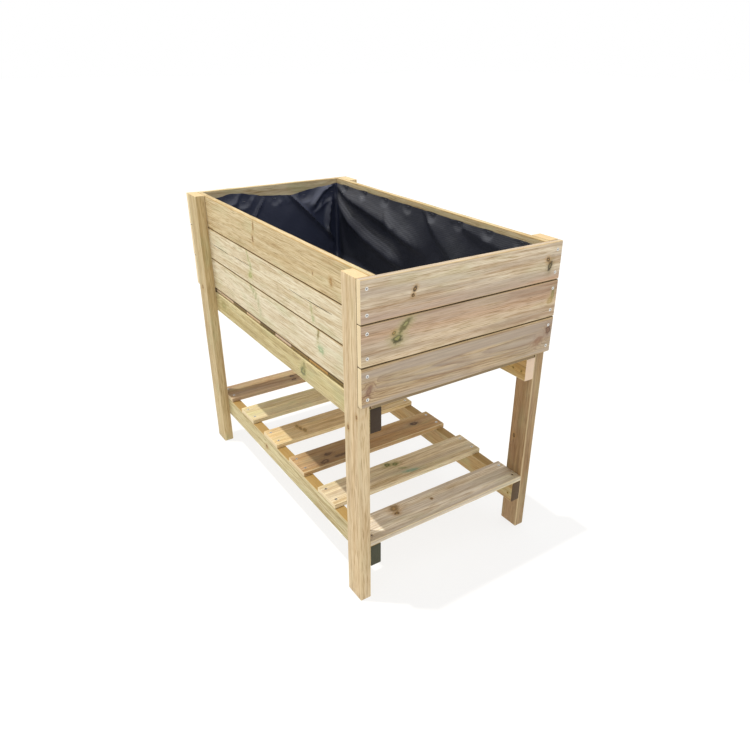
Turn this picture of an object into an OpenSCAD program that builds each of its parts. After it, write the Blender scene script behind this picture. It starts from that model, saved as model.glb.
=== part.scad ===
// Raised planter on legs: a lined box of softwood boards on four legs, with a slatted shelf below.
// X runs along the planter, Y across it and Z up. The origin is on the ground, under the centre.

/* [Overall size] */
// Length over the end boards
planter_length = 1000; // [800:10:1400]
// Width over the legs, which is also the length of the end boards
planter_width = 560; // [440:10:800]
// Height to the rim of the box, which is also the length of the legs
planter_height = 845; // [700:5:1000]

/* [Boards and slats] */
// Width of every box board, floor board and shelf slat
board_width = 95; // [75:1:115]
// Thickness of every box board, floor board and shelf slat
board_thickness = 15; // [12:1:20]
// Radius of the eased long edges of the boards
board_round = 3; // [1:0.5:5]
// Smallest gap between two floor boards, for drainage
floor_gap = 2; // [1:0.5:8]
// Distance that the ends of the floor boards lie back from the side boards' faces
floor_recess = 5; // [0:1:8]
// Number of slats on the shelf
slat_count = 6; // [3:1:6]

/* [Legs, bearers and rails] */
// Width of a leg, along the planter
leg_width = 60; // [45:1:80]
// Depth of a leg, across the planter
leg_depth = 30; // [25:1:40]
// Height of the floor bearers and of the shelf rails
beam_height = 62; // [50:1:80]
// Thickness of the floor bearers and of the shelf rails
beam_thickness = 30; // [25:1:40]
// Radius of the eased long edges of the legs, bearers and rails
timber_round = 3; // [1:0.5:5]
// Height of the underside of the shelf rails above the ground
shelf_clearance = 100; // [50:5:200]

/* [Liner] */
// Thickness that the liner takes up at its walls
liner_thickness = 1.5; // [0.8:0.1:3]
// Room between the liner and the boards round it
liner_clearance = 1; // [0.5:0.1:3]
// Distance from the rim of the box down to the edge of the liner
liner_drop = 10; // [4:1:25]

/* [Screws] */
// Diameter of a screw's countersunk head
head_diameter = 8; // [6:0.5:9]
// Diameter of a screw's shank
shank_diameter = 4; // [3:0.5:5]
// Depth that a screw goes into the timber behind a board or beam
screw_bite = 20; // [14:1:22]
// Distance from a board's long edge to its screws
screw_inset = 20; // [12:1:28]
// Room between a fastener's shank or leg and its hole
hole_clearance = 0.05; // [0.02:0.01:0.1]

/* [Staples] */
// Width of a staple's crown
staple_width = 11; // [8:1:14]
// Length of a staple's legs
staple_depth = 10; // [6:1:12]
// Thickness of a staple's wire
staple_wire = 1; // [0.7:0.1:1.4]
// Distance from the edge of the liner down to its staples along the sides
staple_drop = 8; // [4:1:20]
// Distance from the edge of the liner down to its staples at the ends, where the edge sags
end_staple_drop = 33; // [20:1:45]
// Largest spacing of the staples along the liner's edge
staple_spacing = 120; // [60:5:200]

/* [Hidden] */
$fn = 32;
COURSES = ["top", "middle", "bottom"];
SIDES = ["front", "back"];
ENDS = ["left", "right"];

// Half sizes of the box, from the middle outwards
half_length = planter_length / 2;
half_inner = half_length - board_thickness;
half_width = planter_width / 2;
leg_face = half_width - leg_depth;
half_bay = leg_face - board_thickness;
leg_centre = half_inner - leg_width / 2;

// Heights, from the rim downwards
box_depth = len(COURSES) * board_width;
floor_top = planter_height - box_depth;
bearer_top = floor_top - board_thickness;
rail_top = shelf_clearance + beam_height;
beam_middle = leg_face - beam_thickness / 2;
liner_top = planter_height - liner_drop;
staple_height = liner_top - staple_drop;
end_staple_height = liner_top - end_staple_drop;
// The staples stop short of the screws in the legs, and of the liner's corners
side_staple_reach = half_inner - leg_width - staple_width;
end_staple_reach = half_bay - 2 * staple_width;
liner_half_length = half_inner - liner_clearance;
liner_half_width = half_bay - liner_clearance;

// Floor boards and slats share out the inner length evenly
floor_count = floor((2 * half_inner + floor_gap) / (board_width + floor_gap));
floor_pitch = (2 * half_inner - board_width) / (floor_count - 1);
slat_pitch = (2 * half_inner - board_width) / (slat_count - 1);

// Screws: the head's depth is that of a 90 degree countersink
head_depth = (head_diameter - shank_diameter) / 2;
screw_tip = 1.5 * shank_diameter;
tip_diameter = shank_diameter / 6;
// The cross recess in a screw's head
recess_length = 0.55 * head_diameter;
recess_slot = 0.12 * head_diameter;
recess_depth = 0.9 * head_depth;
board_screw = board_thickness + screw_bite;
beam_screw = beam_thickness + screw_bite;
// Beam screws stand side by side in the leg, a little below the beam's middle
beam_screw_spread = leg_width / 4;
beam_screw_drop = beam_height / 8;
// Side board screws keep clear of the end screws, which come in from the leg's outer face
side_screw_inset = leg_width / 3;

wood_light = "#dccdaa";
wood_grey = "#beaa8c";
wood_brown = "#a98a63";

function sign_of(i) = i == 0 ? -1 : 1;
function course_top(c) = planter_height - c * board_width;
function floor_x(i) = -half_inner + board_width / 2 + i * floor_pitch;
function slat_x(i) = -half_inner + board_width / 2 + i * slat_pitch;
// Even positions from -half to half, no further apart than the staple spacing
function staple_rows(half) =
    let (n = ceil(2 * half / staple_spacing))
    [for (i = [0 : n]) -half + i * 2 * half / n];

// ---- Timber -------------------------------------------------------------------------------

// A bar of rectangular section with eased long edges: it lies along X, centred on the origin
module bar(length, depth, height, round) {
    rotate([90, 0, 90])
        linear_extrude(length, center = true)
            eased_rectangle(depth, height, round);
}

module eased_rectangle(width, height, round) {
    square([width - 2 * round, height], center = true);
    square([width, height - 2 * round], center = true);
    for (x = [-1, 1], y = [-1, 1])
        translate([x * (width / 2 - round), y * (height / 2 - round)])
            circle(round);
}

// ---- Fasteners ----------------------------------------------------------------------------

// A countersunk wood screw: its head is flush with z = 0 and its point is down
module screw(length) {
    difference() {
        union() {
            screw_head();
            translate([0, 0, -length + screw_tip])
                cylinder(h = length - screw_tip - head_depth, d = shank_diameter);
            translate([0, 0, -length])
                cylinder(h = screw_tip, d1 = tip_diameter, d2 = shank_diameter);
        }
        for (a = [0, 90])
            rotate([0, 0, a])
                cube([recess_length, recess_slot, 2 * recess_depth], center = true);
    }
}

module screw_head() {
    translate([0, 0, -head_depth])
        cylinder(h = head_depth, d1 = shank_diameter, d2 = head_diameter);
}

// The hole for that screw: the head seats on its cone, and the shank has clearance
module screw_hole(length) {
    screw_head();
    translate([0, 0, -length - hole_clearance])
        cylinder(h = length + hole_clearance, d = shank_diameter + 2 * hole_clearance);
}

// A staple driven towards +Y: the back of its crown is on y = 0
module staple() {
    translate([-staple_width / 2, -staple_wire, -staple_wire / 2])
        cube([staple_width, staple_wire, staple_wire]);
    staple_legs(0);
}

// The legs of a staple, or with room round them, their holes
module staple_legs(room) {
    for (side = [-1, 1])
        translate([side * (staple_width - staple_wire) / 2, staple_depth / 2, 0])
            cube([staple_wire + 2 * room, staple_depth + 2 * room, staple_wire + 2 * room], center = true);
}

// ---- Where the fasteners go ---------------------------------------------------------------

// Each of these sets its children with the head outwards and the point into the timber

module at_end_screws(end, course) {
    for (side = [-1, 1], edge = [screw_inset, board_width - screw_inset])
        translate([sign_of(end) * half_length, side * (half_width - leg_depth / 2), course_top(course) - edge])
            rotate([0, sign_of(end) * 90, 0])
                children();
}

module at_side_screws(side, course) {
    for (end = [-1, 1], edge = [screw_inset, board_width - screw_inset])
        translate([
            end * (half_inner - leg_width + side_screw_inset),
            sign_of(side) * half_bay,
            course_top(course) - edge
        ])
            rotate([sign_of(side) * 90, 0, 0])
                children();
}

module at_beam_screws(side, top) {
    for (end = [-1, 1], place = [-1, 1])
        translate([
            end * leg_centre + place * beam_screw_spread,
            sign_of(side) * (leg_face - beam_thickness),
            top - beam_height / 2 - beam_screw_drop
        ])
            rotate([sign_of(side) * 90, 0, 0])
                children();
}

module at_cross_screws(middle, top) {
    for (side = [-1, 1], edge = [-1, 1])
        translate([middle + edge * (board_width / 2 - screw_inset), side * beam_middle, top])
            children();
}

module at_side_staples(side) {
    for (x = staple_rows(side_staple_reach))
        translate([x, sign_of(side) * (liner_half_width - liner_thickness), staple_height])
            rotate([0, 0, side == 0 ? 180 : 0])
                children();
}

module at_end_staples(end) {
    for (y = staple_rows(end_staple_reach))
        translate([sign_of(end) * (liner_half_length - liner_thickness), y, end_staple_height])
            rotate([0, 0, end == 0 ? 90 : -90])
                children();
}

// ---- Pieces -------------------------------------------------------------------------------

// A leg stands outside the box's side, from the ground to the rim
module leg(side, end) {
    color(wood_light)
        difference() {
            translate([sign_of(end) * leg_centre, sign_of(side) * (half_width - leg_depth / 2), planter_height / 2])
                rotate([0, 90, 0])
                    bar(planter_height, leg_depth, leg_width, timber_round);
            for (course = [0 : len(COURSES) - 1]) {
                at_end_screws(end, course) screw_hole(board_screw);
                at_side_screws(side, course) screw_hole(board_screw);
            }
            at_beam_screws(side, bearer_top) screw_hole(beam_screw);
            at_beam_screws(side, rail_top) screw_hole(beam_screw);
        }
}

// A long board of the box, screwed from inside to the inner faces of the legs
module side_board(side, course) {
    color(wood_light)
        difference() {
            translate([0, sign_of(side) * (leg_face + half_bay) / 2, course_top(course) - board_width / 2])
                bar(2 * half_inner, board_thickness, board_width, board_round);
            at_side_screws(side, course) screw_hole(board_screw);
            if (course == 0)
                at_side_staples(side) staple_legs(hole_clearance);
        }
}

// An end board of the box, screwed over the end faces of the legs
module end_board(end, course) {
    color(wood_grey)
        difference() {
            translate([sign_of(end) * (half_length + half_inner) / 2, 0, course_top(course) - board_width / 2])
                rotate([0, 0, 90])
                    bar(planter_width, board_thickness, board_width, board_round);
            at_end_screws(end, course) screw_hole(board_screw);
            if (course == 0)
                at_end_staples(end) staple_legs(hole_clearance);
        }
}

// A beam along the inner faces of two legs: a floor bearer or a shelf rail
module beam(side, top) {
    difference() {
        translate([0, sign_of(side) * beam_middle, top - beam_height / 2])
            bar(2 * half_inner, beam_thickness, beam_height, timber_round);
        at_beam_screws(side, top) screw_hole(beam_screw);
        children();
    }
}

module floor_bearer(side) {
    color(wood_light)
        beam(side, bearer_top)
            for (i = [0 : floor_count - 1])
                at_cross_screws(floor_x(i), floor_top) screw_hole(board_screw);
}

module shelf_rail(side) {
    color(wood_light)
        beam(side, rail_top)
            for (i = [0 : slat_count - 1])
                at_cross_screws(slat_x(i), rail_top + board_thickness) screw_hole(board_screw);
}

// A board across two beams: a floor board or a shelf slat
module cross_board(middle, top, length) {
    difference() {
        translate([middle, 0, top - board_thickness / 2])
            rotate([0, 0, 90])
                bar(length, board_width, board_thickness, board_round);
        at_cross_screws(middle, top) screw_hole(board_screw);
    }
}

module floor_board(i) {
    color(wood_brown) cross_board(floor_x(i), floor_top, 2 * (leg_face - floor_recess));
}

module shelf_slat(i) {
    color(wood_brown) cross_board(slat_x(i), rail_top + board_thickness, 2 * leg_face);
}

// The liner is an open bag of woven film that lines the box and stands on its floor
module liner() {
    color("#26262c")
        difference() {
            translate([-liner_half_length, -liner_half_width, floor_top])
                cube([2 * liner_half_length, 2 * liner_half_width, liner_top - floor_top]);
            translate([
                -liner_half_length + liner_thickness,
                -liner_half_width + liner_thickness,
                floor_top + liner_thickness
            ])
                cube([
                    2 * (liner_half_length - liner_thickness),
                    2 * (liner_half_width - liner_thickness),
                    box_depth
                ]);
            for (i = [0, 1]) {
                at_side_staples(i) staple_legs(hole_clearance);
                at_end_staples(i) staple_legs(hole_clearance);
            }
        }
}

module liner_staples() {
    color("silver")
        for (i = [0, 1]) {
            at_side_staples(i) staple();
            at_end_staples(i) staple();
        }
}

module end_board_screws(end) {
    color("silver")
        for (course = [0 : len(COURSES) - 1])
            at_end_screws(end, course) screw(board_screw);
}

module side_board_screws(side) {
    color("silver")
        for (course = [0 : len(COURSES) - 1])
            at_side_screws(side, course) screw(board_screw);
}

module floor_board_screws() {
    color("silver")
        for (i = [0 : floor_count - 1])
            at_cross_screws(floor_x(i), floor_top) screw(board_screw);
}

module shelf_slat_screws() {
    color("silver")
        for (i = [0 : slat_count - 1])
            at_cross_screws(slat_x(i), rail_top + board_thickness) screw(board_screw);
}

module beam_screws(top) {
    color("silver")
        for (side = [0, 1])
            at_beam_screws(side, top) screw(beam_screw);
}

for (s = [0, 1], e = [0, 1])
    leg(s, e);
for (s = [0, 1], c = [0 : len(COURSES) - 1])
    side_board(s, c);
for (e = [0, 1], c = [0 : len(COURSES) - 1])
    end_board(e, c);
for (s = [0, 1])
    floor_bearer(s);
for (i = [1 : floor_count])
    floor_board(i - 1);
for (s = [0, 1])
    shelf_rail(s);
for (i = [1 : slat_count])
    shelf_slat(i - 1);
liner();
liner_staples();
for (e = [0, 1])
    end_board_screws(e);
for (s = [0, 1])
    side_board_screws(s);
floor_board_screws();
beam_screws(bearer_top);  // floor_bearer_screws
shelf_slat_screws();
beam_screws(rail_top);  // shelf_rail_screws
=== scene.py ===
"""A raised garden planter: a lined box of pine boards on four legs, with a slatted shelf below.

The sections follow the planter as it is put together, from the legs to the liner. Lengths are in
metres, except in the timber's grain and the liner's folds, which are in millimetres. Front is -Y,
and right is +X.
"""

import math
import random

import bpy
from mathutils import Matrix, Vector, noise


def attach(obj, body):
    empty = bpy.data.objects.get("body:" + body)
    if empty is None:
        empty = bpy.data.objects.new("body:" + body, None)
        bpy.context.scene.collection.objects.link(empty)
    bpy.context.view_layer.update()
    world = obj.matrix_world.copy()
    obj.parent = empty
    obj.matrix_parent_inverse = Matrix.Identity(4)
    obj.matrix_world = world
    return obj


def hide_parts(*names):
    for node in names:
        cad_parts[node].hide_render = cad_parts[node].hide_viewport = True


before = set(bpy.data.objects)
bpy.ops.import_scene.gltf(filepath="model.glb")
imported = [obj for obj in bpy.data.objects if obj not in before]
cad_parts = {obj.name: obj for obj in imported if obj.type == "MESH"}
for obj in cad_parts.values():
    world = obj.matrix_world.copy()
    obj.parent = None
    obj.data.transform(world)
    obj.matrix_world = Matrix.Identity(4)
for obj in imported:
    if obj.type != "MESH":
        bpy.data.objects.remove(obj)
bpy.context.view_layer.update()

# ---- Legs ----------------------------------------------------------------------------------
# Four straight lengths of planed, pressure-treated pine, 60 x 30 mm, stood on end with the wide
# face to the front or back. The box's boards and the four beams are screwed to them.


def linear(code):
    """The linear RGBA of an sRGB colour that is written as #RRGGBB."""
    parts = [int(code[i : i + 2], 16) / 255 for i in (1, 3, 5)]
    return [p / 12.92 if p <= 0.04045 else ((p + 0.055) / 1.055) ** 2.4 for p in parts] + [1]


def add_node(tree, kind, links=None, stops=None, **settings):
    """Adds a node. links gives its inputs a value or another node's output; stops fills a ramp."""
    node = tree.nodes.new("ShaderNode" + kind)
    for name, value in settings.items():
        setattr(node, name, value)
    for socket, value in (links or {}).items():
        if isinstance(value, bpy.types.NodeSocket):
            tree.links.new(value, node.inputs[socket])
        else:
            node.inputs[socket].default_value = value
    if stops:
        ramp = node.color_ramp.elements
        while len(ramp) < len(stops):
            ramp.new(1)
        for element, (position, colour) in zip(ramp, stops):
            element.position = position
            element.color = linear(colour) if isinstance(colour, str) else (colour,) * 3 + (1,)
    return node


FACTOR, COLOUR_A, COLOUR_B, COLOUR_OUT = 0, 6, 7, 2  # the sockets of a Mix node for colours


def treated_pine(board, low, high, grain, face, seed, tone, log, knots=()):
    """Planed pressure-treated pine: sawn from a log, so one set of rings gives the long figure on
    the faces and the arcs on the ends. The planer leaves a dull surface with fibres just felt, and
    the salts tint it a faint green. tone has the colours, log says where the board lay in the tree,
    and knots are (point in mm, half-size along, half-size across, turn, colour, halo colour). The
    tone's stains_and_shade are stains and painted shade, each (colour, depth, limits), and each fades
    in where each limit's output, measured along its direction, runs from the first figure to the
    second: the normal, or the place in metres."""
    centre = (Vector(low) + Vector(high)) / 2
    along, outward = Vector(grain), Vector(face)
    axes = Matrix((along, outward.cross(along), outward)).transposed()
    half = [abs((Vector(high) - centre).dot(axes.col[i])) * 1000 for i in range(3)]
    material = bpy.data.materials.new(f"planed pressure-treated pine, {board.name}")
    material.use_nodes = True
    tree = material.node_tree
    tree.nodes.clear()

    def node(kind, links=None, stops=None, **settings):
        return add_node(tree, kind, links, stops, **settings)

    where = node("TexCoord")
    mm = node(
        "Mapping",
        {
            0: where.outputs["Object"],
            "Location": centre,
            "Rotation": axes.to_euler(),
            "Scale": (0.001,) * 3,
        },
        vector_type="TEXTURE",
    ).outputs[0]

    def streaks(size_along, size_across, detail, shift):
        """Noise drawn out along the grain, 0 to 1, with patches of the given size in millimetres."""
        scaled = node(
            "VectorMath",
            {0: mm, 1: (1 / size_along, 1 / size_across, 1 / size_across)},
            operation="MULTIPLY",
        )
        return node(
            "TexNoise",
            {"Vector": scaled.outputs[0], "W": seed * 7.31 + shift, "Scale": 1.0, "Detail": detail},
            noise_dimensions="4D",
        ).outputs["Fac"]

    # How far each point is from the pith, which runs almost along the board
    log_space = node(
        "Mapping",
        {
            0: mm,
            "Location": (0, -log["pith"][0], -log["pith"][1]),
            "Rotation": (0, math.radians(log["tilt"][1]), math.radians(log["tilt"][0])),
        },
        vector_type="POINT",
    )
    across = node("VectorMath", {0: log_space.outputs[0], 1: (0, 1, 1)}, operation="MULTIPLY")
    radius = node("VectorMath", {0: across.outputs[0]}, operation="LENGTH").outputs["Value"]
    sway = node("Math", {0: streaks(240, 60, 2, 1.0), 1: 9, 2: radius}, operation="MULTIPLY_ADD")
    wander = node(
        "Math", {0: streaks(50, 8, 2, 2.0), 1: 1.8, 2: sway.outputs[0]}, operation="MULTIPLY_ADD"
    ).outputs[0]

    # The grain closes round each knot
    wobble = streaks(9, 6, 2, 3.0)
    spots = []
    for point, size_along, size_across, turn, colour, halo, *strength in knots:
        offset = Vector(point) / 1000 - centre
        spot = node(
            "Mapping",
            {
                0: mm,
                "Location": (offset.dot(axes.col[0]) * 1000, offset.dot(axes.col[1]) * 1000, 0),
                "Rotation": (0, 0, math.radians(turn)),
                "Scale": (size_along, size_across, 1000),
            },
            vector_type="TEXTURE",
        )
        away = node("VectorMath", {0: spot.outputs[0]}, operation="LENGTH").outputs["Value"]
        away = node("Math", {0: wobble, 1: 1.5, 2: away}, operation="MULTIPLY_ADD").outputs[0]
        near = node(
            "MapRange", {0: away, 1: 1.2, 2: 3.6, 3: 1.0, 4: 0.0}, interpolation_type="SMOOTHSTEP"
        ).outputs[0]
        wander = node(
            "Math", {0: near, 1: min(7, 0.9 * size_across), 2: wander}, operation="MULTIPLY_ADD"
        ).outputs[0]
        spots.append((away, near, colour, halo, strength[0] if strength else 0.92))

    rings = node("Math", {0: wander, 1: 1 / log["ring"]}, operation="MULTIPLY").outputs[0]
    tooth = node("Math", {0: rings}, operation="FRACT").outputs[0]
    late = node(
        "ValToRGB", {0: tooth}, [(0.0, 0.0), (0.45, 0.16), (0.8, 0.75), (0.92, 1.0), (1.0, 0.0)]
    ).outputs[0]
    which = node("Math", {0: rings}, operation="FLOOR").outputs[0]
    year = node("TexWhiteNoise", {"W": which}, noise_dimensions="1D").outputs["Value"]
    weight = node("MapRange", {0: year, 3: 0.25, 4: 1.0}).outputs[0]
    late = node("Math", {0: late, 1: weight}, operation="MULTIPLY").outputs[0]

    # Sapwood outside and heartwood inside, then the late wood's darker lines
    heart = node(
        "MapRange",
        {0: sway.outputs[0], 1: log["heart"] - 14, 2: log["heart"] + 14, 3: 1.0, 4: 0.0},
        interpolation_type="SMOOTHSTEP",
    ).outputs[0]
    colour = node(
        "Mix",
        {FACTOR: heart, COLOUR_A: linear(tone["sap"]), COLOUR_B: linear(tone["heart"])},
        data_type="RGBA",
    )
    line = node("Math", {0: late, 1: tone["figure"]}, operation="MULTIPLY").outputs[0]
    colour = node(
        "Mix",
        {FACTOR: line, COLOUR_A: colour.outputs[COLOUR_OUT], COLOUR_B: linear(tone["late"])},
        data_type="RGBA",
    )

    def tint(colour, factor, target, blend="MIX"):
        return node(
            "Mix",
            {FACTOR: factor, COLOUR_A: colour.outputs[COLOUR_OUT], COLOUR_B: target},
            data_type="RGBA",
            blend_type=blend,
        )

    # Broad streaks, fibres, and the patches where the treatment soaked in
    bands = node(
        "ValToRGB",
        {0: streaks(260, 11, 3, 4.0)},
        [(0.3, tone["band"]), (0.56, "#FFFFFF"), (0.75, "#FFFAF0")],
    )
    colour = tint(colour, tone["banding"], bands.outputs[0], "MULTIPLY")
    flecks = node(
        "ValToRGB",
        {0: streaks(70, 3.2, 3, 9.0)},
        [(0.3, "#C4B292"), (0.42, "#F2EBDD"), (0.5, "#FFFFFF")],
    )
    colour = tint(colour, 0.6, flecks.outputs[0], "MULTIPLY")
    fibre = streaks(34, 1.3, 2, 5.0)
    fibres = node(
        "ValToRGB",
        {0: fibre},
        [(0.24, "#948263"), (0.36, "#D6CAB4"), (0.5, "#FFFFFF"), (0.66, "#FFFFFF"), (0.8, "#FFFAF2")],
    )
    colour = tint(colour, 0.85, fibres.outputs[0], "MULTIPLY")
    soaked = node(
        "MapRange",
        {0: streaks(120, 45, 3, 6.0), 1: 0.48, 2: 0.72, 3: 0.0, 4: tone["green"]},
        interpolation_type="SMOOTHSTEP",
    ).outputs[0]
    colour = tint(colour, soaked, linear("#B4BB8C"))
    weathered = node(
        "MapRange",
        {0: streaks(520, 24, 3, 8.0), 1: 0.42, 2: 0.62, 3: 0.0, 4: tone["grey"]},
        interpolation_type="SMOOTHSTEP",
    ).outputs[0]
    colour = tint(colour, weathered, linear("#B3A596"))

    relief = node("Math", {0: late, 1: 0.35, 2: fibre}, operation="MULTIPLY_ADD").outputs[0]
    for away, near, core, halo, strength in spots:
        haze = node("Math", {0: near, 1: 0.55 * strength}, operation="MULTIPLY").outputs[0]
        colour = tint(colour, haze, linear(halo))
        solid = node(
            "MapRange", {0: away, 1: 1.3, 2: 2.1, 3: strength, 4: 0.0}, interpolation_type="SMOOTHSTEP"
        ).outputs[0]
        part_way = node("Math", {0: away, 1: 0.5}, operation="MULTIPLY").outputs[0]
        heartwood = node(
            "ValToRGB", {0: part_way}, [(0.3, core), (0.48, halo), (0.62, core), (0.8, core)]
        ).outputs[0]
        colour = tint(colour, solid, heartwood)
        relief = node("Math", {0: solid, 1: -0.7, 2: relief}, operation="MULTIPLY_ADD").outputs[0]

    # The arrises take the tone's arris colour, and the sawn ends take its end colour and carry saw marks
    spread = node("VectorMath", {0: mm}, operation="ABSOLUTE")
    sides = node("SeparateXYZ", {0: spread.outputs[0]})
    arris = None
    for side, reach in ((1, half[1]), (2, half[2])):
        edge = node(
            "MapRange", {0: sides.outputs[side], 1: reach - 3.2, 2: reach - 0.8, 3: 0.0, 4: 1.0}
        ).outputs[0]
        arris = edge if arris is None else node(
            "Math", {0: arris, 1: edge}, operation="MULTIPLY"
        ).outputs[0]
    arris_tint = node("Math", {0: arris, 1: 0.7}, operation="MULTIPLY").outputs[0]
    colour = tint(colour, arris_tint, linear(tone["arris"]))
    facing = node(
        "VectorMath", {0: where.outputs["Normal"], 1: along}, operation="DOT_PRODUCT"
    ).outputs["Value"]
    facing = node("Math", {0: facing}, operation="ABSOLUTE").outputs[0]
    sawn = node("MapRange", {0: facing, 1: 0.55, 2: 0.85, 3: 0.0, 4: 1.0}).outputs[0]
    across_grain = node("Math", {0: sawn, 1: tone.get("end_depth", 0.72)}, operation="MULTIPLY").outputs[0]
    colour = tint(colour, across_grain, linear(tone["end"]))
    # Stains, and painted shade in seams, joints and shadows, go over the colour
    for stain_and_shade_colour, share, limits in tone.get("stains_and_shade", ()):
        for output, direction, start, end in limits:
            measured = node(
                "VectorMath", {0: where.outputs[output], 1: direction}, operation="DOT_PRODUCT"
            ).outputs["Value"]
            within = node("MapRange", {0: measured, 1: start, 2: end, 3: 0.0, 4: 1.0}).outputs[0]
            share = node("Math", {0: within, 1: share}, operation="MULTIPLY").outputs[0]
        colour = tint(colour, share, linear(stain_and_shade_colour))
    saw_marks = node("TexNoise", {"Vector": mm, "Scale": 0.9, "Detail": 3.0}).outputs["Fac"]
    saw_marks = node("Math", {0: saw_marks, 1: sawn, 2: relief}, operation="MULTIPLY_ADD").outputs[0]
    rough = node("MapRange", {0: late, 3: 0.74, 4: 0.58}).outputs[0]
    bump = node("Bump", {"Strength": 0.55, "Distance": 0.0005, "Height": saw_marks})
    shader = node(
        "BsdfPrincipled",
        {
            "Base Color": colour.outputs[COLOUR_OUT],
            "Roughness": rough,
            "IOR": 1.45,
            "Normal": bump.outputs[0],
        },
    )
    node("OutputMaterial", {0: shader.outputs[0]})
    board.data.materials.clear()
    board.data.materials.append(material)


def choose(board, kind, test):
    """Opens the board's mesh in edit mode with only the edges or faces that pass the test selected."""
    bpy.ops.object.mode_set(mode="EDIT")
    bpy.ops.mesh.select_mode(type=kind)
    bpy.ops.mesh.select_all(action="DESELECT")
    bpy.ops.object.mode_set(mode="OBJECT")
    mesh = board.data
    if kind == "EDGE":
        for edge in mesh.edges:
            start, end = (mesh.vertices[v].co for v in edge.vertices)
            edge.select = test(end - start)
    else:
        for face in mesh.polygons:
            face.select = test(face.normal)
    bpy.ops.object.mode_set(mode="EDIT")


def cut_away(board, cutters):
    """Takes the cutters' shapes out of the board."""
    if not cutters:
        return
    bpy.ops.object.select_all(action="DESELECT")
    for cutter in cutters:
        cutter.select_set(True)
    bpy.context.view_layer.objects.active = cutters[0]
    if len(cutters) > 1:
        bpy.ops.object.join()
    tool = bpy.context.object
    bpy.ops.object.select_all(action="DESELECT")
    board.select_set(True)
    bpy.context.view_layer.objects.active = board
    cut = board.modifiers.new("cut", "BOOLEAN")
    cut.operation, cut.object, cut.solver = "DIFFERENCE", tool, "EXACT"
    bpy.ops.object.modifier_apply(modifier=cut.name)
    bpy.data.objects.remove(tool)


CELL_ALONG, CELL_ACROSS, END_EASE = 0.022, 0.016, 0.0012
SEAT_TIP, SEAT_MOUTH, SEAT_DEPTH, SEAT_SINK = 0.0014, 0.0052, 0.0042, 0.0009  # a countersink's cone
CRACK_DEPTH = 0.004


def plank(name, low, high, grain, face, seed, ease=0.003, uneven=0.0007, screws=(), cracks=()):
    """Models one length of timber: a block whose arrises are eased, whose faces are divided and
    left slightly uneven by the planer, and which is countersunk for its screws."""
    low, high, along, outward = Vector(low), Vector(high), Vector(grain), Vector(face)
    size = high - low
    bpy.ops.object.select_all(action="DESELECT")
    bpy.ops.mesh.primitive_cube_add(size=1, location=(low + high) / 2, scale=size)
    board = bpy.context.object
    board.name = board.data.name = name
    bpy.ops.object.transform_apply(location=True, rotation=True, scale=True)
    sideways = outward.cross(along)

    def runs(axis, least=0.0):
        return lambda edge: edge.length > least and abs(edge.dot(axis)) > 0.99 * edge.length

    choose(board, "EDGE", runs(along))
    bpy.ops.mesh.bevel(offset=ease, segments=3, profile=0.6)
    choose(board, "FACE", lambda normal: abs(normal.dot(along)) > 0.9)
    bpy.ops.mesh.bevel(offset=END_EASE, segments=2, affect="EDGES")
    length, width, depth = (abs(size.dot(axis)) for axis in (along, sideways, outward))
    choose(board, "EDGE", runs(along, 0.8 * length))
    bpy.ops.mesh.subdivide(number_cuts=max(8, round(length / CELL_ALONG)))
    choose(board, "EDGE", runs(sideways, 0.5 * width))
    bpy.ops.mesh.subdivide(number_cuts=max(3, round(width / CELL_ACROSS)))
    bpy.ops.object.mode_set(mode="OBJECT")

    # Planing and drying leave the faces a little out of true, in waves about a hand wide
    waves = bpy.data.textures.new(name + "_waves", "CLOUDS")
    waves.noise_scale, waves.noise_depth = 0.085 + 0.011 * (seed % 8), 2
    lift = board.modifiers.new("waves", "DISPLACE")
    lift.texture, lift.texture_coords, lift.strength, lift.mid_level = waves, "LOCAL", 2 * uneven, 0.5
    bpy.ops.object.modifier_apply(modifier=lift.name)
    bpy.data.textures.remove(waves)

    cutters = []
    for point, out in screws:
        turn = Vector(out).to_track_quat("Z", "Y").to_euler()
        spot = Vector(point) - Vector(out) * SEAT_SINK
        bpy.ops.mesh.primitive_cone_add(
            vertices=20,
            radius1=SEAT_TIP,
            radius2=SEAT_MOUTH,
            depth=SEAT_DEPTH,
            location=spot,
            rotation=turn,
        )
        cutters.append(bpy.context.object)
    for point, slant, reach, width in cracks:
        # A drying crack is a thin lens, so a stretched ball is what opens it
        bpy.ops.mesh.primitive_ico_sphere_add(subdivisions=2, radius=1, location=point)
        blade = bpy.context.object
        board_axes = Matrix((along, sideways, outward)).transposed().to_4x4()
        turn = Matrix.Rotation(math.radians(slant), 4, "Z")
        stretch = Matrix.Diagonal((reach, width, CRACK_DEPTH, 1))
        blade.data.transform(board_axes @ turn @ stretch)
        cut_away(board, [blade])
    cut_away(board, cutters)
    bpy.ops.object.select_all(action="DESELECT")
    board.select_set(True)
    bpy.context.view_layer.objects.active = board
    bpy.ops.object.shade_smooth_by_angle(angle=math.radians(32))
    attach(board, "root")
    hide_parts(name)
    return board


def span(way, inner, outer):
    """The low and high ends of a stretch from inner to outer, on the side that way (-1 or 1) gives."""
    return sorted((way * inner, way * outer))


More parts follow.
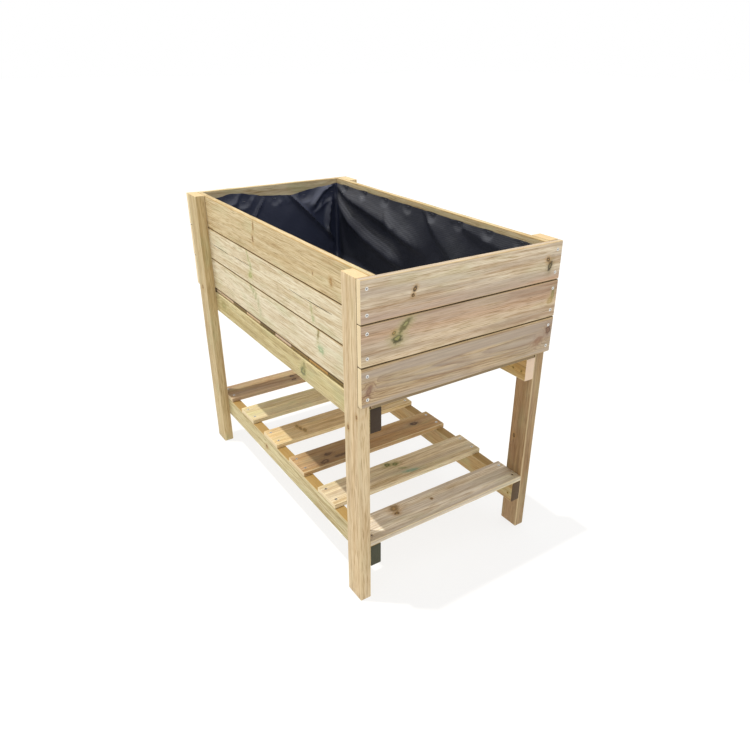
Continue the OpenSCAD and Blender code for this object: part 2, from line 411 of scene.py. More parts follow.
X, Y, Z = Vector((1, 0, 0)), Vector((0, 1, 0)), Vector((0, 0, 1))
RIM = 0.845  # height of the box's rim, and length of the legs
LEG_INNER_X, LEG_OUTER_X = 0.425, 0.485
LEG_FACE, LEG_OUTER_Y = 0.25, 0.28  # boards and beams lie against the legs' inner face
LEG_TONE = dict(
    sap="#DFCBA2", heart="#D6B990", late="#B2905F", figure=0.26, band="#C9B189", banding=0.6,
    green=0.25, grey=0.10, arris="#DFCBA0", end="#E8CB9A",
)
KNOT_BROWN, KNOT_DARK, KNOT_TEAL = "#6B4A2B", "#4A3626", "#6E9A84"
HALO_OCHRE, HALO_GREEN, HALO_PINK = "#B98F4E", "#A5A468", "#C29A78"
leg_notes = {
    "leg_front_left": dict(
        tone={"green": 0.4, "sap": "#D2BE90", "heart": "#C9AC80"},
        log=dict(pith=(14, 40), tilt=(0.5, 0.3), ring=3.6, heart=12),
        knots=[((-455, -280, 560), 7, 5, 0, KNOT_BROWN, HALO_OCHRE)],
    ),
    "leg_front_right": dict(
        tone={"sap": "#E3CDA6", "heart": "#DDC298", "green": 0.15},
        log=dict(pith=(-10, 55), tilt=(0.3, 0.5), ring=3.2, heart=38),
        knots=[
            ((441, -280, 489), 6, 4, 0, KNOT_BROWN, HALO_OCHRE),
            ((478, -280, 531), 5, 3.5, 0, KNOT_BROWN, HALO_OCHRE),
        ],
    ),
    "leg_back_left": dict(
        tone={},
        log=dict(pith=(20, -38), tilt=(-0.4, 0.2), ring=3.8, heart=20),
        knots=[((-450, 250, 380), 7, 6, 0, KNOT_BROWN, HALO_OCHRE)],
    ),
    "leg_back_right": dict(
        # Darker than the other legs, as painted shade under the box
        tone={"sap": "#B4966C", "heart": "#A98660", "late": "#7E5F3E", "band": "#A08868"},
        log=dict(pith=(-16, -34), tilt=(0.4, -0.3), ring=3.0, heart=26),
        knots=[((442, 250, 290), 7, 4, 0, KNOT_DARK, HALO_OCHRE)],
    ),
}
for seed, (name, note) in enumerate(leg_notes.items(), 11):
    side = -1 if "front" in name else 1
    end = -1 if "left" in name else 1
    (x0, x1), (y0, y1) = span(end, LEG_INNER_X, LEG_OUTER_X), span(side, LEG_FACE, LEG_OUTER_Y)
    low, high = (x0, y0, 0.0), (x1, y1, RIM)
    leg = plank(name, low, high, Z, side * Y, seed, uneven=0.0006)
    corner = (end * X + side * Y).normalized()  # Dirt and painted shade darken the seam along the end boards
    seam = ("#5E4728", 0.85, (("Normal", corner, 0.76, 0.93), ("Object", Z, 0.556, 0.560)))
    tone = {**LEG_TONE, "stains_and_shade": (seam,), **note["tone"]}
    treated_pine(leg, low, high, Z, side * Y, seed, tone, note["log"], note["knots"])

# ---- Floor bearers and shelf rails ---------------------------------------------------------
# Two bearers carry the box's floor and two rails carry the shelf. All four are 62 x 30 mm pine,
# planed, and screwed from inside to the inner faces of the legs.

BEAM_HEIGHT, BEAM_INNER_Y = 0.062, 0.22
BEAM_SCREW_X, BEAM_SCREW_SPREAD, BEAM_SCREW_DROP = 0.455, 0.015, 0.00775
BEAM_TONE = dict(
    sap="#D9CB98", heart="#CBB07C", late="#A98F58", figure=0.65, band="#BFAE7E", banding=0.6,
    green=0.4, grey=0.12, arris="#DDD0A4", end="#E8D2B0",
)
beam_notes = {
    "front_floor_bearer": dict(
        z=0.483,
        tone={"end": "#2E1A0A", "end_depth": 0.97},
        log=dict(pith=(22, 46), tilt=(0.5, 0.2), ring=4.2, heart=16),
        knots=[
            ((168, -250, 508), 12, 12, 60, "#4E5234", HALO_GREEN, 0.8),
            ((176, -250, 524), 6, 16, 0, "#7C6A40", HALO_GREEN, 0.6),
            ((-365, -250, 520), 22, 14, 0, "#94824C", HALO_GREEN, 0.5),
        ],
    ),
    "back_floor_bearer": dict(
        z=0.483,
        tone={"sap": "#C9A868", "end": "#F3DAC4"},
        log=dict(pith=(-20, 44), tilt=(0.4, 0.2), ring=4.0, heart=20),
        knots=[((300, 250, 515), 8, 5, 0, KNOT_BROWN, HALO_OCHRE)],
    ),
    "front_shelf_rail": dict(
        z=0.1,
        tone={
            "end": "#2F3424",
            "end_depth": 0.95,
            "green": 0.3,
            "sap": "#DCD0A4",
            "stains_and_shade": (("#A37F3E", 0.85, (("Normal", Z, 0.5, 0.9),)),),
        },
        log=dict(pith=(10, 60), tilt=(0.3, 0.3), ring=3.8, heart=10),
        knots=[((-120, -250, 130), 7, 5, 0, KNOT_BROWN, HALO_OCHRE)],
    ),
    "back_shelf_rail": dict(
        z=0.1,
        tone={
            "sap": "#BFA06C",
            "end": "#4A341E",
            "end_depth": 0.92,
            "stains_and_shade": (("#A5854C", 0.7, (("Normal", Z, 0.5, 0.9),)),),
        },
        log=dict(pith=(24, 40), tilt=(-0.3, 0.3), ring=4.4, heart=18),
        knots=[((210, 250, 140), 6, 5, 0, KNOT_BROWN, HALO_OCHRE)],
    ),
}
for seed, (name, note) in enumerate(beam_notes.items(), 21):
    side = -1 if "front" in name else 1
    y0, y1 = span(side, BEAM_INNER_Y, LEG_FACE)
    low, high = (-LEG_OUTER_X, y0, note["z"]), (LEG_OUTER_X, y1, note["z"] + BEAM_HEIGHT)
    screw_z = note["z"] + BEAM_HEIGHT / 2 - BEAM_SCREW_DROP
    seats = [
        ((end * BEAM_SCREW_X + step * BEAM_SCREW_SPREAD, side * BEAM_INNER_Y, screw_z), (0, -side, 0))
        for end in (-1, 1)
        for step in (-1, 1)
    ]
    beam = plank(name, low, high, X, side * Y, seed, screws=seats, uneven=0.0006)
    treated_pine(
        beam, low, high, X, side * Y, seed, {**BEAM_TONE, **note["tone"]}, note["log"], note["knots"]
    )

# ---- Floor boards --------------------------------------------------------------------------
# Ten pine boards, 95 x 15 mm, lie across the bearers with a drainage gap of about 2 mm, under the
# liner. They are drawn cream, pink, green and brown, side by side.

HALF_BOARD = 0.0475  # half the width of every board
CROSS_SCREW_X, CROSS_SCREW_Y = 0.0275, 0.235  # from the board's middle line, and from the planter's
FLOOR_REACH, FLOOR_UNDER, FLOOR_TOP = 0.245, 0.545, 0.56
FIRST_BOARD, FLOOR_PITCH = -0.4375, 0.875 / 9
FLOOR_TONES = [
    "#EBD3B0",
    "#E6C8A2",
    "#8E7440",
    "#E3C296",
    "#7E6636",
    "#E8C9A8",
    "#9C7E48",
    "#C79A52",
    "#8A7138",
    "#EFD2B8",
]
# Painted shade darkens the boards' upper part under the side boards, the lower edges of their ends on the
# bearers, and the outer sides of the two outermost boards under the end boards
FLOOR_PAINTED_SHADE = [("#46351E", 0.85, (("Object", Z, 0.5522, 0.5542),))]
FLOOR_PAINTED_SHADE += [("#46351E", 0.75, (("Normal", (way * Y - Z).normalized(), 0.76, 0.93),)) for way in (-1, 1)]
FLOOR_PAINTED_SHADE += [
    ("#85714F", 0.9, (("Normal", way * X, 0.4, 0.8), ("Object", way * X, 0.470, 0.475)))
    for way in (-1, 1)
]
for number, sap in enumerate(FLOOR_TONES, 1):
    middle = FIRST_BOARD + FLOOR_PITCH * (number - 1)
    low = (middle - HALF_BOARD, -FLOOR_REACH, FLOOR_UNDER)
    high = (middle + HALF_BOARD, FLOOR_REACH, FLOOR_TOP)
    seats = [
        ((middle + step * CROSS_SCREW_X, side * CROSS_SCREW_Y, FLOOR_TOP), (0, 0, 1))
        for side in (-1, 1)
        for step in (-1, 1)
    ]
    name = f"floor_board_{number}"
    board = plank(
        name, low, high, Y, Z, 30 + number, ease=0.0025, uneven=0.0004, screws=seats
    )
    tone = dict(
        sap=sap, heart="#C79F74", late="#A07C4C", figure=0.6, band="#BDA578", banding=0.6,
        green=0.25, grey=0.1, arris="#D8C295", end=sap, end_depth=0.9, stains_and_shade=FLOOR_PAINTED_SHADE,
    )
    place = random.Random(number)
    log = dict(
        pith=(place.uniform(-30, 30), place.choice((-1, 1)) * place.uniform(25, 60)),
        tilt=(place.uniform(-0.6, 0.6), place.uniform(-0.4, 0.4)),
        ring=place.uniform(3.2, 4.8),
        heart=place.uniform(10, 40),
    )
    at = (1000 * middle + place.uniform(-30, 30), place.uniform(-180, 180), 560)
    treated_pine(board, low, high, Y, Z, 30 + number, tone, log, [(at, 7, 5, 0, KNOT_BROWN, HALO_OCHRE)])

# ---- Side boards ---------------------------------------------------------------------------
# Three courses of 95 x 15 mm boards close each long side, screwed from inside to the legs. They
# are pale sapwood, with thin drying cracks and the green streaks that the treatment leaves.

COURSE, SCREW_DROPS = 0.095, (0.02, 0.075)  # the courses' spacing, and the screws below a board's top
JOINT_GAP = 0.0012  # how far a board stops short of the course below
SIDE_INNER_Y, SIDE_SCREW_X = 0.235, 0.445
# Dirt and painted shade darken the boards' edges at the joints between the courses
JOINT_UP_DIRT_AND_SHADE, JOINT_DOWN_DIRT_AND_SHADE = (("#4E3E2A", 0.8, (("Normal", way, 0.35, 0.8),)) for way in (Z, -Z))
COURSE_DIRT_AND_SHADE = [(JOINT_DOWN_DIRT_AND_SHADE,), (JOINT_UP_DIRT_AND_SHADE, JOINT_DOWN_DIRT_AND_SHADE), (JOINT_UP_DIRT_AND_SHADE, JOINT_DOWN_DIRT_AND_SHADE)]
SIDE_TONE = dict(
    sap="#DDCBA2", heart="#D9BE94", late="#BE9F6A", figure=0.5, band="#D0BC90", banding=0.55,
    green=0.28, grey=0.05, arris="#B68F4C", end="#DCC298",
)
side_notes = {
    "front_board_top": dict(
        course=0,
        log=dict(pith=(-30, 52), tilt=(0.9, 0.4), ring=4.4, heart=20),
        knots=[
            ((-77, 0, 826), 3.5, 12, -6, "#7A5A30", HALO_OCHRE, 0.8),
            ((-86, 0, 790), 4, 10, 8, "#6E4E2A", HALO_OCHRE, 0.85),
            ((330, 0, 789), 6, 9, 6, "#94703C", HALO_OCHRE, 0.7),
            ((246, 0, 786), 3, 4, 0, KNOT_BROWN, HALO_OCHRE, 0.7),
        ],
    ),
    "front_board_middle": dict(
        course=1,
        tone={"sap": "#EADFC2", "heart": "#DCC49E", "green": 0.3},
        log=dict(pith=(12, 70), tilt=(0.5, 0.6), ring=4.8, heart=24),
        knots=[
            ((-125, 0, 682), 11, 8, 30, "#8E9048", "#B9BE7C", 0.7),
            ((-138, 0, 746), 4, 6, 0, "#96905A", "#BCBE84", 0.5),
            ((-131, 0, 730), 4, 9, 10, "#8E8450", "#BCBE84", 0.6),
            ((-118, 0, 708), 5, 12, 10, "#9A9460", "#BCBE84", 0.55),
            ((231, 0, 696), 5, 12, 8, "#96905A", "#BCBE84", 0.5),
            ((238, 0, 674), 6, 8, 8, "#8C9868", "#BCBE84", 0.5),
        ],
        cracks=[
            ((-345, -0.25, 704), -0.4, 70, 1.0),
            ((-180, -0.25, 707), 0.8, 80, 0.8),
            ((155, -0.25, 711), -0.5, 45, 0.7),
            ((262, -0.25, 713), 0.4, 72, 1.1),
        ],
    ),
    "front_board_bottom": dict(
        course=2,
        tone={"sap": "#EBE1C6", "heart": "#DCC49E", "green": 0.3},
        log=dict(pith=(36, 60), tilt=(-0.5, 0.5), ring=4.6, heart=14),
        knots=[
            ((-128, 0, 650), 6, 7, 0, "#869868", "#B9BE84", 0.6),
            ((-112, 0, 641), 6, 11, -30, "#8C9060", "#BDBE8C", 0.5),
            ((-99, 0, 630), 6, 12, -25, "#8A8A58", "#BDBE8C", 0.55),
            ((-85, 0, 614), 6, 14, -12, "#949468", "#BDBE8C", 0.42),
            ((-76, 0, 592), 7, 14, -6, "#9A9A70", "#C2C29A", 0.35),
            ((262, 0, 648), 4.5, 20, -14, "#7A6234", "#B3AE70", 0.75),
            ((271, 0, 607), 13, 9, 0, "#7FA074", "#B7C79A", 0.6),
        ],
    ),
    "back_board_top": dict(
        course=0,
        tone={"heart": "#CBA05E"},
        log=dict(pith=(26, 44), tilt=(0.6, 0.3), ring=4.2, heart=30),
        knots=[
            ((-210, 0, 800), 9, 6, 0, KNOT_BROWN, HALO_OCHRE),
            ((260, 0, 775), 6, 5, 0, KNOT_DARK, HALO_PINK),
        ],
    ),
    "back_board_middle": dict(
        course=1,
        log=dict(pith=(-20, 58), tilt=(-0.7, 0.4), ring=4.0, heart=26),
        knots=[
            ((60, 0, 700), 10, 7, 20, KNOT_BROWN, HALO_OCHRE),
            ((-330, 0, 720), 5, 4, 0, KNOT_DARK, HALO_GREEN),
        ],
        cracks=[((-60, 0.25, 722), 1, 80, 0.5), ((60, 0.25, 724), -1, 60, 0.4)],
    ),
    "back_board_bottom": dict(
        course=2,
        tone={"green": 0.4},
        log=dict(pith=(8, 62), tilt=(0.5, 0.5), ring=4.8, heart=12),
        knots=[((340, 0, 600), 8, 6, 0, KNOT_BROWN, HALO_OCHRE)],
    ),
}
for seed, (name, note) in enumerate(side_notes.items(), 51):
    side = -1 if "front" in name else 1
    top = RIM - COURSE * note["course"]
    y0, y1 = span(side, SIDE_INNER_Y, LEG_FACE)
    low, high = (-LEG_OUTER_X, y0, top - COURSE + JOINT_GAP), (LEG_OUTER_X, y1, top - 0.0003)
    seats = [
        ((end * SIDE_SCREW_X, side * SIDE_INNER_Y, top - drop), (0, -side, 0))
        for end in (-1, 1)
        for drop in SCREW_DROPS
    ]
    cracks = [
        ((x / 1000, y, z / 1000), slant, reach / 1000, wide / 1000)
        for (x, y, z), slant, reach, wide in note.get("cracks", ())
    ]
    board = plank(
        name,
        low,
        high,
        X,
        side * Y,
        seed,
        ease=0.0019,
        screws=seats,
        cracks=cracks,
    )
    tone = {**SIDE_TONE, "stains_and_shade": COURSE_DIRT_AND_SHADE[note["course"]], **note.get("tone", {})}
    treated_pine(board, low, high, X, side * Y, seed, tone, note["log"], note["knots"])

# ---- End boards ----------------------------------------------------------------------------
# Three courses of the same board cover each end, screwed through their faces into the legs. They
# show more heartwood than the sides: greyer and pinker, with strong streaks and dark knots.

END_FACE, END_SCREW_Y = 0.5, 0.265
END_TONE = dict(
    sap="#E8D8BA", heart="#D4B296", late="#9C7C60", figure=0.55, band="#BDA284", banding=0.85,
    green=0.12, grey=0.55, arris="#CDAE74", end="#F0DAAE", end_depth=0.85,
)
end_notes = {
    "right_board_top": dict(
        course=0,
        tone={"grey": 0.55, "green": 0.2, "sap": "#ECDDC2"},
        log=dict(pith=(-62, -14), tilt=(0.7, 0.2), ring=3.4, heart=46),
        knots=[
            ((500, -148, 805), 7, 4.5, 50, "#2E2216", HALO_OCHRE),
            ((500, -153, 791), 4, 3.5, 0, "#33261A", HALO_OCHRE),
            ((500, 244, 788), 7, 13, -12, "#3E3420", "#8A7C54"),
            ((500, 236, 805), 6, 6, 0, "#4A3A26", HALO_OCHRE),
        ],
    ),
    "right_board_middle": dict(
        course=1,
        tone={"sap": "#E2CEB0", "heart": "#D0B295", "grey": 0.4},
        log=dict(pith=(58, -22), tilt=(0.5, 0.4), ring=3.6, heart=70),
        knots=[
            ((500, -191, 703), 13, 10, 0, "#3E3A1C", "#A09A5C"),
            ((500, -200, 718), 5, 4, 30, "#4A4226", HALO_OCHRE, 0.8),
            ((500, -171, 731), 19, 8, 42, "#5F5A30", HALO_GREEN, 0.8),
            ((500, 266, 716), 5, 12, 0, "#6E6A38", "#B4A870", 0.7),
            ((500, 258, 700), 8, 8, 20, "#A08248", "#BEA870", 0.6),
        ],
    ),
    "right_board_bottom": dict(
        course=2,
        tone={"figure": 0.95, "sap": "#CDB692", "late": "#7E5A40", "grey": 0.7},
        log=dict(pith=(6, -24), tilt=(1.2, 1.6), ring=4.4, heart=16),
        knots=[
            ((500, 266, 622), 8, 11, 0, "#5A3E2C", "#8C6A50", 0.8),
            ((500, 236, 600), 16, 9, 25, "#8A6448", "#A07C60", 0.6),
            ((500, -262, 600), 7, 13, -30, "#7C5A48", "#9A7860", 0.7),
        ],
    ),
    "left_board_top": dict(
        course=0,
        # Lighter than the other end boards, as painted light on its inner face above the liner
        tone={"green": 0.4, "grey": 0.2, "sap": "#EBDCB6", "heart": "#DDBF98", "late": "#B99A72"},
        log=dict(pith=(50, -30), tilt=(0.7, 0.8), ring=3.8, heart=22),
        knots=[((-500, 60, 800), 7, 5, 0, KNOT_DARK, HALO_PINK)],
    ),
    "left_board_middle": dict(
        course=1,
        tone={"heart": "#C8A07C"},
        log=dict(pith=(-52, -26), tilt=(0.4, 0.5), ring=3.4, heart=54),
        knots=[
            ((-500, -120, 710), 12, 8, 20, KNOT_DARK, HALO_OCHRE),
            ((-500, 190, 690), 4, 4, 0, KNOT_BROWN, HALO_OCHRE),
        ],
    ),
    "left_board_bottom": dict(
        course=2,
        tone={"green": 0.2},
        log=dict(pith=(24, -46), tilt=(-0.6, 0.6), ring=4.4, heart=20),
        knots=[((-500, 130, 600), 8, 6, 0, KNOT_BROWN, HALO_OCHRE)],
    ),
}
for seed, (name, note) in enumerate(end_notes.items(), 61):
    end = -1 if "left" in name else 1
    top = RIM - COURSE * note["course"]
    x0, x1 = span(end, LEG_OUTER_X, END_FACE)
    low, high = (x0, -LEG_OUTER_Y, top - COURSE + JOINT_GAP), (x1, LEG_OUTER_Y, top - 0.0002)
    seats = [
        ((end * END_FACE, side * END_SCREW_Y, top - drop), (end, 0, 0))
        for side in (-1, 1)
        for drop in SCREW_DROPS
    ]
    board = plank(name, low, high, Y, end * X, seed, screws=seats, uneven=0.0009)
    tone = {**END_TONE, "stains_and_shade": COURSE_DIRT_AND_SHADE[note["course"]], **note["tone"]}
    treated_pine(board, low, high, Y, end * X, seed, tone, note["log"], note["knots"])

# ---- Shelf slats ---------------------------------------------------------------------------
# Six boards laid across the rails, 80 mm apart, with two screws at each end. They are offcuts of
# every shade, from brown heartwood to greenish sapwood.

SLAT_UNDER, SLAT_TOP, SLAT_PITCH = 0.162, 0.177, 0.175
slat_notes = [
    dict(
        tone={"sap": "#C9AA80", "heart": "#B89A74", "late": "#866A4A", "grey": 0.3, "arris": "#DCC09A"},
        log=dict(pith=(10, 44), tilt=(0.4, 0.3), ring=3.6, heart=60),
        knots=[
            ((-437, -3, 177), 9, 6, 0, "#3E2C1C", "#8A6A48"),
            ((-409, -8, 177), 10, 6, 20, "#3E2C1C", "#8A6A48"),
        ],
    ),
    dict(
        tone={"sap": "#F0E4B6", "green": 0.4},
        log=dict(pith=(-20, 60), tilt=(0.5, 0.3), ring=4.6, heart=8),
        knots=[],
    ),
    dict(
        tone={"sap": "#EFD6A2"},
        log=dict(pith=(12, 36), tilt=(0.8, 0.6), ring=4.4, heart=18),
        knots=[
            ((-105, -150, 177), 5, 10, -12, "#7A6634", HALO_OCHRE, 0.8),
            ((-88, -146, 177), 4, 10, -12, "#6E5A2E", HALO_OCHRE, 0.85),
            ((-70, -140, 177), 5, 11, -12, "#7A6634", HALO_OCHRE, 0.8),
        ],
    ),
    dict(
        tone={
            "sap": "#D8B880",
            "heart": "#C4A06E",
            "late": "#80603E",
            "grey": 0.2,
            # A painted shadow darkens the slat's front part, just behind its sunlit end
            "stains_and_shade": (("#54402E", 0.28, (("Object", -Y, 0.02, 0.08), ("Object", Y, -0.232, -0.2))),),
        },
        log=dict(pith=(-14, 40), tilt=(0.6, 0.4), ring=3.8, heart=60),
        knots=[
            ((84, 169, 177), 15, 8, 0, "#2E2014", "#7A5C40"),
            ((118, -172, 177), 15, 9, 10, "#5E452C", "#9A7A58"),
            ((88, -146, 177), 12, 7, 0, "#4A3624", "#7A5C40", 0.8),
            ((112, -118, 177), 18, 6, 0, "#4A3624", "#7A5C40", 0.7),
        ],
    ),
    dict(
        tone={"sap": "#F0E2C0", "green": 0.25, "grey": 0.4},
        log=dict(pith=(18, 34), tilt=(0.7, 0.5), ring=4.4, heart=16),
        knots=[
            ((232, -33, 177), 9, 8, 0, "#4A5228", HALO_GREEN),
            ((240, -10, 177), 9, 7, 0, "#56602E", HALO_GREEN),
            ((268, -4, 177), 14, 4, -20, "#6E7A4C", HALO_GREEN, 0.6),
            ((291, 12, 177), 24, 6, -10, KNOT_TEAL, "#9AB092", 0.7),
        ],
    ),
    dict(
        tone={"sap": "#FAF1DE", "grey": 0.45},
        log=dict(pith=(-26, 42), tilt=(0.5, 0.7), ring=4.6, heart=24),
        knots=[
            ((408, -130, 177), 14, 12, 20, "#7E6234", HALO_OCHRE, 0.8),
            ((428, -134, 177), 8, 5, 0, "#5E4626", HALO_OCHRE),
            ((428, -22, 177), 4, 4, 0, KNOT_DARK, HALO_OCHRE),
        ],
    ),
]
SLAT_TONE = dict(
    sap="#EAD6A8", heart="#D6B084", late="#B08A5C", figure=0.6, band="#CBB78E", banding=0.7,
    green=0.25, grey=0.2, arris="#EBD8AC", end="#EED9AE",
)
for number, note in enumerate(slat_notes, 1):
    middle = FIRST_BOARD + SLAT_PITCH * (number - 1)
    low, high = (middle - HALF_BOARD, -LEG_FACE, SLAT_UNDER), (middle + HALF_BOARD, LEG_FACE, SLAT_TOP)
    seats = [
        ((middle + step * CROSS_SCREW_X, side * CROSS_SCREW_Y, SLAT_TOP), (0, 0, 1))
        for side in (-1, 1)
        for step in (-1, 1)
    ]
    slat = plank(f"shelf_slat_{number}", low, high, Y, Z, 70 + number, screws=seats)
    treated_pine(
        slat, low, high, Y, Z, 70 + number, {**SLAT_TONE, **note["tone"]}, note["log"], note["knots"]
    )

# ---- Screws --------------------------------------------------------------------------------
# Countersunk wood screws with a cross recess, cold-formed from steel wire and zinc plated. The
# plating is satin with a faint cloudiness: pale on the screws that show, and yellow on those that
# are hidden. Painted shade darkens the recess.


def metal(name, pale, dull, roughness, grain_mm, face=None):
    """Worn plated steel: a satin grey that clouds over in patches, with fine marks from tumbling.
    Painted shade darkens the recess, which is every surface that doesn't look out along face."""
    material = bpy.data.materials.new(name)
    material.use_nodes = True
    tree = material.node_tree
    tree.nodes.clear()
    where = add_node(tree, "TexCoord").outputs["Object"]
    clouds = add_node(
        tree, "TexNoise", {"Vector": where, "Scale": 1000 / grain_mm, "Detail": 4.0}
    ).outputs["Fac"]
    colour = add_node(tree, "ValToRGB", {0: clouds}, [(0.35, dull), (0.6, pale)]).outputs[0]
    if face:
        normal = add_node(tree, "TexCoord").outputs["Normal"]
        facing = add_node(
            tree, "VectorMath", {0: normal, 1: face}, operation="DOT_PRODUCT"
        ).outputs["Value"]
        facing = add_node(tree, "Math", {0: facing}, operation="ABSOLUTE").outputs[0]
        painted_recess_shade = add_node(tree, "MapRange", {0: facing, 1: 0.6, 2: 0.9, 3: 1.0, 4: 0.0}).outputs[0]
        links = {FACTOR: painted_recess_shade, COLOUR_A: colour, COLOUR_B: linear("#2E2A26")}
        colour = add_node(tree, "Mix", links, data_type="RGBA").outputs[COLOUR_OUT]
    rough = add_node(tree, "MapRange", {0: clouds, 3: roughness + 0.12, 4: roughness - 0.08}).outputs[0]
    marks = add_node(tree, "TexNoise", {"Vector": where, "Scale": 2500.0, "Detail": 2.0}).outputs["Fac"]
    bump = add_node(tree, "Bump", {"Strength": 0.3, "Distance": 0.0001, "Height": marks})
    shader = add_node(
        tree,
        "BsdfPrincipled",
        {"Base Color": colour, "Metallic": 1.0, "Roughness": rough, "Normal": bump.outputs[0]},
    )
    add_node(tree, "OutputMaterial", {0: shader.outputs[0]})
    return material


yellow_zinc = metal("yellow-passivated zinc-plated steel", "#B89A5C", "#86703E", 0.45, 2.5, Y)
platings = {"shelf_slat": metal("zinc-plated steel, slats", "#EFEEEA", "#B8B8B5", 0.38, 2.5, Z)}
platings["left_board"] = platings["right_board"] = metal(
    "zinc-plated steel, ends", "#EFEEEA", "#B8B8B5", 0.38, 2.5, X
)
for name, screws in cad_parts.items():
    if name.endswith("_screws"):
        screws.data.materials.clear()
        screws.data.materials.append(platings.get(name.removesuffix("_screws"), yellow_zinc))

# ---- Liner ---------------------------------------------------------------------------------
# One sheet of black woven polypropylene, pushed down into the box and folded at the corners. The
# walls hang from the staples. The edge sags at the left end, and folds run down from the corners.

HALF_LENGTH, HALF_WIDTH, LINER_FLOOR = 0.4828, 0.2328, 0.5622
CORNER, FILLET = 0.012, 0.035


def rise(value, start, end):
    t = min(1, max(0, (value - start) / (end - start)))
    return t * t * (3 - 2 * t)


def liner_edge(x, y):
    """Height of the liner's cut edge at a place on its outline."""
    if x < -0.47:  # the left end was cut and stapled by eye, and it sags between the corner folds
        marks = [
            (-0.24, 0.824),
            (-0.188, 0.824),
            (-0.148, 0.831),
            (-0.115, 0.829),
            (-0.082, 0.823),
            (-0.042, 0.815),
            (0.004, 0.811),
            (0.057, 0.808),
            (0.094, 0.813),
            (0.132, 0.820),
            (0.17, 0.824),
            (0.24, 0.831),
        ]
        for (y0, z0), (y1, z1) in zip(marks, marks[1:]):
            if y <= y1:
                return z0 + (z1 - z0) * rise(y, y0, y1)
        return marks[-1][1]
    return 0.8315 + 0.0012 * noise.noise(Vector((x * 7, y * 7, 3.3)))


RESTING_GAP, PRESSED_GAP = 0.0030, 0.0006  # the cloth's middle from its wall: loose, and under a staple
PRESSED_FLAT, PRESSED_FADE = 0.010, 0.026  # distances from a staple where the cloth lies flat and loose
# The middles of the staples' crowns: eight along each side, and five lower down at each end
SIDE_STAPLE_X, SIDE_STAPLE_Y, SIDE_STAPLE_Z = 0.414, 0.2325, 0.827
END_STAPLE_X, END_STAPLE_Y, END_STAPLE_Z = 0.4825, 0.213, 0.802
STAPLES = [
    (-SIDE_STAPLE_X + k * 2 * SIDE_STAPLE_X / 7, side * SIDE_STAPLE_Y, SIDE_STAPLE_Z)
    for side in (-1, 1)
    for k in range(8)
]
STAPLES += [
    (end * END_STAPLE_X, -END_STAPLE_Y + k * 2 * END_STAPLE_Y / 4, END_STAPLE_Z)
    for end in (-1, 1)
    for k in range(5)
]


# Folds pressed into the walls: the path in mm (along the wall, up), the height, and the width to the
# left and to the right of the path, with the wall drawn x or y to the right and z up. They start
# where the cloth is gathered.
FOLDS = {
    "back": [
        ([(-480, 824), (-445, 768), (-372, 717), (-280, 686), (-160, 660), (-40, 632)], 22, 34, 20),
        ([(-470, 822), (-390, 796), (-278, 779), (-155, 757), (-52, 728), (60, 700)], 20, 38, 17),
        ([(24, 828), (60, 796), (96, 768), (146, 737), (200, 690)], 9, 44, 16),
        ([(150, 826), (250, 808), (345, 797), (450, 770)], 5, 26, 14),
        ([(478, 820), (430, 770), (400, 700), (385, 640)], 6, 24, 28),
        ([(-166, 800), (-150, 770), (-110, 735)], 5, 16, 12),
    ],
    "left": [
        ([(40, 822), (60, 798), (90, 766), (126, 729), (188, 664), (226, 618)], 14, 7, 4),
        ([(40, 822), (60, 798), (90, 766), (126, 729), (188, 664), (226, 618)], 6, 60, 5),
        ([(-32, 816), (-69, 759), (-100, 700)], 9, 4, 4),
        ([(232, 824), (205, 822), (176, 810), (142, 776), (122, 748)], 13, 7, 11),
        ([(178, 796), (168, 770), (160, 752)], 5, 3, 3),
        ([(228, 806), (204, 768), (195, 726), (188, 682), (190, 640)], 12, 6, 9),
        ([(222, 790), (180, 766), (157, 751), (130, 735)], 5, 4, 4),
        ([(-13, 812), (-18, 786)], 3, 4, 4),
        ([(8, 810), (21, 776)], 4, 4, 4),
        ([(33, 810), (54, 778)], 3, 4, 4),
        ([(-70, 818), (-90, 790), (-130, 775)], 6, 7, 7),
        ([(-120, 826), (-135, 800), (-180, 785)], 7, 8, 8),
        ([(-228, 820), (-190, 770), (-160, 690), (-150, 620)], 10, 12, 16),
    ],
    "front": [
        ([(478, 822), (430, 762), (350, 712), (250, 684), (120, 660)], 15, 20, 32),
        ([(470, 822), (385, 798), (270, 776), (150, 748), (40, 706)], 12, 18, 34),
        ([(-478, 820), (-430, 764), (-360, 700), (-330, 640)], 13, 26, 18),
        ([(-60, 826), (-90, 790), (-140, 745), (-170, 700)], 10, 12, 24),
        ([(-250, 824), (-262, 780), (-256, 720)], 8, 12, 12),
    ],
    "right": [
        ([(228, 820), (190, 772), (165, 712), (150, 640)], 12, 22, 14),
        ([(-228, 820), (-185, 768), (-130, 722), (-60, 690)], 14, 24, 14),
        ([(20, 822), (10, 780), (-20, 735)], 8, 12, 12),
        ([(-120, 824), (-104, 790), (-70, 765)], 7, 12, 9),
    ],
}


def fold(u, z, path, height, left, right):
    """How far one fold lifts the cloth at a place on its wall: narrow and low at its start."""
    nearest, whole, run = None, sum(math.dist(a, b) for a, b in zip(path, path[1:])), 0
    for (ax, az), (bx, bz) in zip(path, path[1:]):
        length = math.dist((ax, az), (bx, bz))
        t = min(1, max(0, ((u - ax) * (bx - ax) + (z - az) * (bz - az)) / length**2))
        away = math.hypot(u - ax - (bx - ax) * t, z - az - (bz - az) * t)
        if nearest is None or away < nearest[0]:
            nearest = away, (bx - ax) * (z - az) - (bz - az) * (u - ax) > 0, (run + length * t) / whole
        run += length
    away, on_left, share = nearest
    width = (left if on_left else right) * (0.3 + 0.7 * rise(share, 0, 0.45))
    return height * (
        0.4 + 0.6 * rise(share, 0, 0.25)
    ) * (1 - rise(share, 0.8, 1)) * math.exp(-((away / width) ** 1.6))


